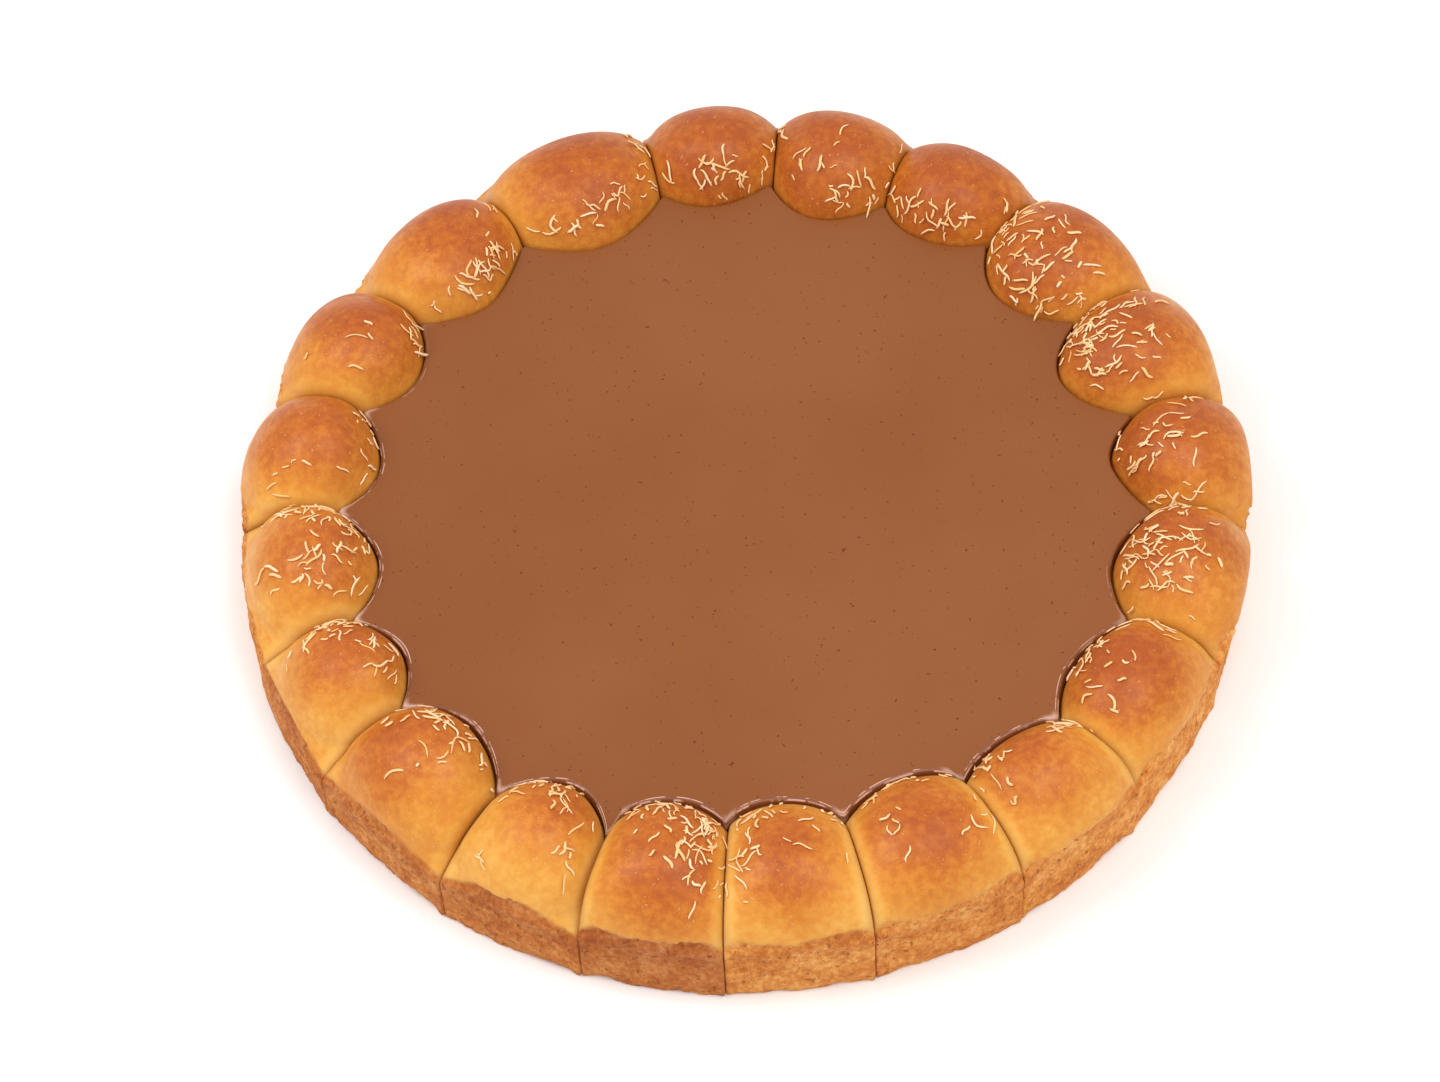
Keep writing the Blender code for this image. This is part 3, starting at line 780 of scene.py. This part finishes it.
def filling_body():
    """The filling's mesh, and the bearings and radii of its side."""
    bearings, at_level = well_outline(FILLING_LEVEL)
    _, lower_down = well_outline(FILLING_LEVEL - GROOVE_DEPTH)
    _, at_bottom = well_outline(FILLING_BOTTOM)
    front = smooth_step(np.cos(bearings - LIP_STANDS_OFF), *LIP_FRONT)
    edge = rounded_corners(np.minimum(lower_down, at_level))
    wall = edge - (LIP_GAP[0] + LIP_GAP[1] * front)
    lip = LIP_WIDTH[0] + LIP_WIDTH[1] * front
    loops = [(np.minimum(at_bottom, wall) - BOTTOM_INSET, FILLING_BOTTOM),
             (lower_down - GROOVE_INSET, FILLING_LEVEL - GROOVE_DEPTH),
             (wall, FILLING_LEVEL - LIP_SIDE * GROOVE_DEPTH)]
    for turn in np.linspace(0.0, math.pi / 2, LIP_STEPS):
        radii = wall - lip * (1.0 - math.cos(turn))
        loops.append((radii, FILLING_LEVEL - LIP_HEIGHT * (1.0 - math.sin(turn))))
    for inset in SHEET_INSETS:
        loops.append((wall - lip - inset, FILLING_LEVEL))
    for share in SHEET_SHARES:
        loops.append(((wall - lip - SHEET_INSETS[-1]) * share, FILLING_LEVEL))
    return finished(stack_of_loops(bearings, loops), "filling"), bearings, wall


def build_filling(spread):
    """The filling: a flat sheet with a glossy, rounded lip, off from the front rolls, and where
    highlights and shade are painted on that lip.
    """
    data, bearings, wall = filling_body()
    places = places_of(data)
    around = np.arctan2(places[:, 0], places[:, 1])
    radius = np.hypot(places[:, 0], places[:, 1])
    inset = np.interp(around, bearings, wall, period=2.0 * math.pi) - radius
    add_values(data, "inset", inset / MM)
    # Where the lip's coat, painted highlights and painted shade show, by bearing
    add_values(data, "lip_glisten", smooth_step(np.cos(around - MOST_GLISTENING), *LIP_GLISTEN_RANGE))
    # The painted highlight patches at the seams
    seams = bearings[STEPS_PER_ROLL - 1::STEPS_PER_ROLL]
    off_seam = np.abs((around[:, None] - seams + math.pi) % (2.0 * math.pi) - math.pi).min(axis=1)
    shaded = CUSP_SHADE * smooth_step(-np.cos(around), *CUSPS_SHADED)
    add_values(data, "cusp", (1.0 - shaded) * (1.0 - smooth_step(off_seam, *CUSP_REACH)))
    sheet = add_piece("spread_filling", data, spread)
    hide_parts("filling")


def resting_reach(index, lines, aims):
    """How far the places of lines go along their aims until they rest on the bread."""
    beside = [other % len(ROLLS) for other in (index - 1, index, index + 1)]

    def sunk_in(reach):
        places = (lines + aims * reach[..., None]).reshape(-1, 3)
        form = np.min([form_at(other, places) for other in beside], axis=0)
        return ((form < 1.0) | (places[:, 2] < FILLING_LEVEL)).reshape(reach.shape)

    _, reach = searched(sunk_in, -SHRED_SEARCH, SHRED_SEARCH, lines.shape[:2])
    return reach


def shred_lines(cluster, dice):
    """The middle lines of a cluster's shreds, and the way up from the crust at each."""
    index = cluster.roll - 1
    _, outward, clockwise = heart_of(index)
    draws = [(dice.gauss(cluster.rise, cluster.rise_spread),
              dice.gauss(cluster.lean, cluster.lean_spread),
              dice.gauss(0.0, SHRED_TURN), dice.triangular(*SHRED_LENGTHS) / 2,
              dice.gauss(0.0, SHRED_BEND), dice.uniform(-SHRED_HOOK, SHRED_HOOK),
              dice.random() < HOOKED)
             for _ in range(cluster.count)]
    rise, lean, turn, half, bend, curl, hooked = np.array(draws).T
    hook = curl * hooked
    wave = SHRED_WAVE * curl * (1.0 - hooked)
    rise = np.clip(rise, *SHRED_RISES)
    lean = np.radians(np.clip(lean, -SHRED_LEANS, SHRED_LEANS))[:, None]
    for _ in range(RISE_STEPS):
        slope = np.radians(rise)[:, None]
        aims = -outward * np.cos(slope) + UP * np.sin(slope)
        aims = aims * np.cos(lean) + clockwise * np.sin(lean)
        middles = skin_points(index, aims)
        too_low = middles[:, 2] < FILLING_LEVEL + SHRED_CLEARANCE
        rise = np.where(too_low, rise + RISE_STEP, rise)

    upward = unit(np.cross(aims, clockwise))
    along = upward * np.cos(turn)[:, None] + np.cross(aims, upward) * np.sin(turn)[:, None]
    across = np.cross(aims, along)
    stations = np.linspace(-1.0, 1.0, SHRED_STATIONS)
    beyond = np.maximum(stations - HOOK_FROM, 0.0)
    sideways = bend[:, None] * stations ** 2 + hook[:, None] * beyond ** 2
    sideways = sideways + wave[:, None] * np.sin(WAVE_TURN * stations)
    ahead = (half[:, None] * stations)[..., None]
    aside = (half[:, None] * sideways)[..., None]
    lines = middles[:, None] + along[:, None] * ahead + across[:, None] * aside

    reach = resting_reach(index, lines, aims[:, None])
    share = (stations + 1.0) / 2
    chord = reach[:, :1] * (1.0 - share) + reach[:, -1:] * share
    reach = np.maximum(reach, chord)
    climb = np.abs(np.diff(reach, axis=1)).max(axis=1) / (half * (stations[1] - stations[0]))
    lying = climb < STEEPEST_SHRED
    return (lines + aims[:, None] * reach[..., None])[lying], aims[lying]


def straight_shred():
    """A straight shred with a radius and a half length of 1, divided along its length."""
    mesh = bmesh.new()
    bmesh.ops.create_cone(mesh, cap_ends=True, segments=SHRED_SIDES,
                          radius1=1.0, radius2=1.0, depth=2.0)
    lengthwise = [edge for edge in mesh.edges
                  if abs(edge.verts[0].co.z - edge.verts[1].co.z) > 1.0]
    bmesh.ops.subdivide_edges(mesh, edges=lengthwise, cuts=SHRED_STATIONS - 2)
    return finished(mesh, "shred")


def build_shreds(pale):
    """All the shreds on the crust and along the filling's edge, as one piece."""
    single = straight_shred()
    shape = places_of(single)
    station = np.rint((shape[:, 2] + 1.0) / 2 * (SHRED_STATIONS - 1)).astype(int)
    taper = 1.0 - END_TAPER * np.abs(shape[:, 2]) ** END_SHARPNESS

    mesh = bmesh.new()
    places = []
    tones = []
    for number, cluster in enumerate(CLUSTERS):
        dice = random.Random(FIRST_SEED + number)
        lines, aims = shred_lines(cluster, dice)
        for line, aim in zip(lines, aims):
            mesh.from_mesh(single)
            width = dice.triangular(*SHRED_WIDTHS)
            pile = abs(dice.gauss(0.0, SHRED_PILE))
            ahead = np.gradient(line, axis=0)
            sideways = unit(np.cross(aim, ahead))
            upward = unit(np.cross(ahead, sideways))
            beside = sideways[station] * (shape[:, 0] * taper * width / 2)[:, None]
            above = pile + (shape[:, 1] * taper + RAISED_BY) * width * SHRED_FLATNESS / 2
            places.append(line[station] + beside + upward[station] * above[:, None])
            tones.extend([dice.random()] * len(shape))
    bpy.data.meshes.remove(single)
    data = finished(mesh, "shreds")
    data.vertices.foreach_set("co", np.concatenate(places).ravel())
    add_values(data, "tone", tones)
    add_piece("shreds", data, pale)


def new_material(name):
    """An empty material, and its node tree and shader."""
    made = bpy.data.materials.new(name)
    made.use_nodes = True
    tree = made.node_tree
    return made, tree, tree.nodes["Principled BSDF"]


def add_node(tree, kind, **settings):
    """A node with its properties set, as attribute names and values."""
    node = tree.nodes.new("ShaderNode" + kind)
    for name, value in settings.items():
        setattr(node, name, value)
    return node


def value_of(tree, name):
    """A value that the vertices of a piece carry."""
    return add_node(tree, "Attribute", attribute_name=name).outputs["Fac"]


def noise_of(tree, coordinates, scale, detail, roughness=0.5):
    """A noise texture over coordinates; its value comes from the socket it returns."""
    made = add_node(tree, "TexNoise")
    made.inputs["Scale"].default_value = scale
    made.inputs["Detail"].default_value = detail
    made.inputs["Roughness"].default_value = roughness
    tree.links.new(coordinates, made.inputs["Vector"])
    return made.outputs["Fac"]


def mapped(tree, value, low, high, new_low=0.0, new_high=1.0):
    """A value's range stretched to another one and cut off at its ends."""
    made = add_node(tree, "MapRange", interpolation_type="SMOOTHSTEP")
    made.inputs["From Min"].default_value = low
    made.inputs["From Max"].default_value = high
    made.inputs["To Min"].default_value = new_low
    made.inputs["To Max"].default_value = new_high
    tree.links.new(value, made.inputs["Value"])
    return made.outputs["Result"]


def combined(tree, operation, first, second):
    """Two values joined by a sum, a product or another operation."""
    made = add_node(tree, "Math", operation=operation)
    for socket, value in zip(made.inputs, (first, second)):
        if isinstance(value, float):
            socket.default_value = value
        else:
            tree.links.new(value, socket)
    return made.outputs["Value"]


def blended(tree, share, first, second, blend_type="MIX"):
    """Two colours mixed by a share."""
    made = add_node(tree, "Mix", data_type="RGBA", blend_type=blend_type)
    for socket, value in ((made.inputs[0], share), (made.inputs[6], first), (made.inputs[7], second)):
        if isinstance(value, float):
            socket.default_value = value
        elif isinstance(value, tuple):
            socket.default_value = (*value, 1.0)
        else:
            tree.links.new(value, socket)
    return made.outputs[2]


def ramp(tree, value, stops):
    """A colour ramp over a value, from its places and colours."""
    made = add_node(tree, "ValToRGB")
    elements = made.color_ramp.elements
    while len(elements) < len(stops):
        elements.new(0.5)
    for element, (position, colour) in zip(elements, stops):
        element.position = position
        element.color = (*colour, 1.0)
    tree.links.new(value, made.inputs["Fac"])
    return made.outputs["Color"]


def crumb_group():
    """The rough, torn look of bread that has no skin: its colour and its height."""
    group = bpy.data.node_groups.new("torn_crumb", "ShaderNodeTree")
    socket = group.interface.new_socket
    socket(name="Coordinates", in_out="INPUT", socket_type="NodeSocketVector")
    socket(name="Colour", in_out="OUTPUT", socket_type="NodeSocketColor")
    socket(name="Height", in_out="OUTPUT", socket_type="NodeSocketFloat")
    entry = group.nodes.new("NodeGroupInput")
    leaving = group.nodes.new("NodeGroupOutput")
    coordinates = entry.outputs["Coordinates"]
    risen = add_node(group, "Mapping")
    risen.inputs["Scale"].default_value = CRUMB_STRETCH
    group.links.new(coordinates, risen.inputs["Vector"])
    patches = noise_of(group, risen.outputs["Vector"], *TORN_PATCHES)
    crumbs = noise_of(group, risen.outputs["Vector"], *TORN_CRUMBS)
    pits = noise_of(group, risen.outputs["Vector"], *TORN_PITS)
    tint = combined(group, "ADD", combined(group, "MULTIPLY", patches, PATCHES_SHARE),
                    combined(group, "MULTIPLY", crumbs, CRUMBS_SHARE))
    colour = ramp(group, tint, CRUMB_TINTS)
    hollow = mapped(group, pits, *PIT_HOLLOWS)
    # Painted shade in the pits, where the bump sinks them
    colour = blended(group, hollow, colour, PIT_SHADE_COLOUR)
    sunk = combined(group, "MULTIPLY", hollow, PITS_DEPTH_SHARE)
    height = combined(group, "SUBTRACT", crumbs, sunk)
    group.links.new(colour, leaving.inputs["Colour"])
    group.links.new(height, leaving.inputs["Height"])
    return group


def placed_group(tree, group, coordinates):
    """A copy of a node group in a material, fed with coordinates."""
    made = add_node(tree, "Group", node_tree=group)
    tree.links.new(coordinates, made.inputs["Coordinates"])
    return made


def with_bump(tree, shader, height, distance):
    """Give a shader fine relief from a height."""
    bump = add_node(tree, "Bump")
    bump.inputs["Strength"].default_value = 1.0
    bump.inputs["Distance"].default_value = distance
    tree.links.new(height, bump.inputs["Height"])
    tree.links.new(bump.outputs["Normal"], shader.inputs["Normal"])


def crust_material(crumb):
    """Egg-washed crust, from pale gold to brown, with the rough side left by the pan."""
    made, tree, shader = new_material("baked_crust")
    coordinates = add_node(tree, "TexCoord").outputs["Object"]
    browned_and_painted_light = value_of(tree, "browned_and_painted_light")
    rough = value_of(tree, "rough")

    clouds = noise_of(tree, coordinates, *CLOUDS)
    mottles = noise_of(tree, coordinates, *MOTTLES)
    mottled = combined(tree, "ADD", mapped(tree, clouds, *CLOUDS_TINT),
                       mapped(tree, mottles, *MOTTLES_TINT))
    share = mapped(tree, browned_and_painted_light, *BROWNED_MOTTLING)
    tint = combined(tree, "ADD", browned_and_painted_light, combined(tree, "MULTIPLY", mottled, share))
    colour = ramp(tree, tint, CRUST_TINTS)
    flecks = mapped(tree, noise_of(tree, coordinates, *FLECKS), *FLECK_RANGE)
    colour = blended(tree, flecks, colour, FLECK_COLOUR)
    # Painted shade in the creases, darker towards the seams
    crease_shade = combined(tree, "MULTIPLY", value_of(tree, "crease_shade"), CREASE_SHADE_SHARE)
    colour = blended(tree, crease_shade, colour, CREASE_SHADE_COLOUR)
    side = placed_group(tree, crumb, coordinates)
    # The rough side darkened: scorch from the pan, with painted shade on the rolls at the front left
    torn_colour = blended(tree, value_of(tree, "singed_and_shaded"), side.outputs["Colour"],
                          SINGED_AND_SHADED_TINT, "MULTIPLY")
    colour = blended(tree, rough, colour, torn_colour)
    tree.links.new(colour, shader.inputs["Base Color"])

    shine = mapped(tree, clouds, *CLOUDS_SHINE)
    matt = combined(tree, "MULTIPLY", rough, ROUGH_MATTNESS)
    tree.links.new(combined(tree, "ADD", shine, matt), shader.inputs["Roughness"])
    shader.inputs["Specular IOR Level"].default_value = 0.22
    grain = noise_of(tree, coordinates, *SKIN_GRAIN)
    skin = combined(tree, "MULTIPLY", grain, SKIN_GRAIN_SHARE)
    torn = combined(tree, "MULTIPLY", side.outputs["Height"], rough)
    with_bump(tree, shader, combined(tree, "ADD", skin, torn), CRUST_BUMP)
    return made


def crumb_material(crumb):
    """Plain torn bread."""
    made, tree, shader = new_material("bread_crumb")
    coordinates = add_node(tree, "TexCoord").outputs["Object"]
    side = placed_group(tree, crumb, coordinates)
    tree.links.new(side.outputs["Colour"], shader.inputs["Base Color"])
    shader.inputs["Roughness"].default_value = 0.85
    with_bump(tree, shader, side.outputs["Height"], CRUST_BUMP)
    return made


def filling_material():
    """Smooth brown filling with a satin sheen and a few dark specks."""
    made, tree, shader = new_material("smooth_filling")
    coordinates = add_node(tree, "TexCoord").outputs["Object"]
    streaks = noise_of(tree, coordinates, *STREAKS)
    colour = ramp(tree, streaks, FILLING_TINTS)
    specks = mapped(tree, noise_of(tree, coordinates, *SPECKS), *SPECK_RANGE)
    colour = blended(tree, specks, colour, SPECK_COLOUR)
    inset = value_of(tree, "inset")
    lip_glisten = value_of(tree, "lip_glisten")
    # Painted shade on the lip's rounded edge; the same band carries the coat
    on_lip = combined(tree, "MULTIPLY", lip_glisten, mapped(tree, inset, *LIP_BAND, 1.0, 0.0))
    colour = blended(tree, combined(tree, "MULTIPLY", on_lip, LIP_SHADE_SHARE), colour, LIP_SHADE_COLOUR)
    # Painted highlights: thin broken lines along the lip
    for middle, half_width, fineness in LIP_LINES:
        away = combined(tree, "ABSOLUTE", combined(tree, "SUBTRACT", inset, middle), 0.0)
        line = mapped(tree, away, LINE_CORE * half_width, half_width, 1.0, 0.0)
        broken = mapped(tree, noise_of(tree, coordinates, fineness, 3.0), *LINE_BREAKS)
        glint = combined(tree, "MULTIPLY", combined(tree, "MULTIPLY", line, broken), lip_glisten)
        colour = blended(tree, glint, colour, GLINT_COLOUR)
    # A painted highlight patch at each seam
    cusp = value_of(tree, "cusp")
    patch = combined(tree, "MULTIPLY", cusp, mapped(tree, inset, *CUSP_BAND, CUSP_GLINT_SHARE, 0.0))
    colour = blended(tree, combined(tree, "MULTIPLY", patch, lip_glisten), colour, CUSP_GLINT_COLOUR)
    tree.links.new(colour, shader.inputs["Base Color"])
    tree.links.new(mapped(tree, streaks, *STREAKS_SHINE), shader.inputs["Roughness"])
    shader.inputs["Specular IOR Level"].default_value = 0.30
    tree.links.new(combined(tree, "MULTIPLY", on_lip, LIP_COAT), shader.inputs["Coat Weight"])
    shader.inputs["Coat Roughness"].default_value = 0.15
    ripples = noise_of(tree, coordinates, *RIPPLES)
    with_bump(tree, shader, ripples, FILLING_BUMP)
    return made


def shred_material():
    """Pale, slightly glossy shreds, each with a tone of its own."""
    made, tree, shader = new_material("pale_shred")
    tone = value_of(tree, "tone")
    coordinates = add_node(tree, "TexCoord").outputs["Object"]
    grain = noise_of(tree, coordinates, *SHRED_GRAIN)
    share = combined(tree, "ADD", combined(tree, "MULTIPLY", tone, SHRED_TONE_SHARE),
                     mapped(tree, grain, *SHRED_GRAIN_TONE))
    colour = ramp(tree, share, SHRED_TINTS)
    tree.links.new(colour, shader.inputs["Base Color"])
    shader.inputs["Roughness"].default_value = 0.5
    shader.inputs["Specular IOR Level"].default_value = 0.30
    with_bump(tree, shader, grain, SHRED_BUMP)
    return made


def build_floor():
    """A plain pale floor, which isn't part of the bread."""
    made, _, shader = new_material("floor")
    shader.inputs["Base Color"].default_value = FLOOR_COLOUR
    shader.inputs["Roughness"].default_value = 0.9
    mesh = bmesh.new()
    bmesh.ops.create_grid(mesh, x_segments=1, y_segments=1, size=FLOOR_HALF)
    data = finished(mesh, "floor")
    data.materials.append(made)
    floor = in_scene("floor", data)


def build_camera():
    """The camera at the photograph's viewing angle."""
    forward = Vector((0.0, math.cos(CAMERA_DOWN), -math.sin(CAMERA_DOWN)))
    right = Vector((1.0, 0.0, 0.0))
    up = right.cross(forward)
    turned_right = right * math.cos(CAMERA_TURN) + up * math.sin(CAMERA_TURN)
    turned_up = up * math.cos(CAMERA_TURN) - right * math.sin(CAMERA_TURN)
    data = bpy.data.cameras.new("camera")
    data.sensor_width = SENSOR_WIDTH
    data.sensor_fit = "HORIZONTAL"
    data.lens = FOCAL_PIXELS / PICTURE_WIDTH * data.sensor_width
    camera = in_scene("camera", data)
    axes = Matrix((turned_right, turned_up, -forward)).transposed().to_4x4()
    camera.matrix_world = Matrix.Translation(CAMERA_TARGET - forward * CAMERA_DISTANCE) @ axes
    bpy.context.scene.camera = camera


def add_light(name, place, size, watts, tint):
    """A soft square light that faces the bread."""
    data = bpy.data.lights.new(name, "AREA")
    data.size = size
    data.energy = watts
    data.color = tint
    lamp = in_scene(name, data)
    lamp.location = place
    lamp.rotation_euler = (-Vector(place)).to_track_quat("-Z", "Y").to_euler()


def build_light():
    """Plain soft studio light, with the key from above, a little to the front and right."""
    world = bpy.data.worlds.new("studio")
    world.use_nodes = True
    sky = world.node_tree.nodes["Background"]
    sky.inputs["Color"].default_value = (*WHITE, 1.0)
    sky.inputs["Strength"].default_value = SKY_STRENGTH
    bpy.context.scene.world = world
    add_light("key", *KEY_LIGHT)
    add_light("overhead", *OVERHEAD_LIGHT)
    bpy.context.scene.view_settings.view_transform = "Standard"


def main():
    """Dress the bread and set up the studio."""
    crumb = crumb_group()
    build_rolls(crust_material(crumb))
    build_base(crumb_material(crumb))
    build_filling(filling_material())
    build_shreds(shred_material())
    build_floor()
    build_camera()
    build_light()


main()
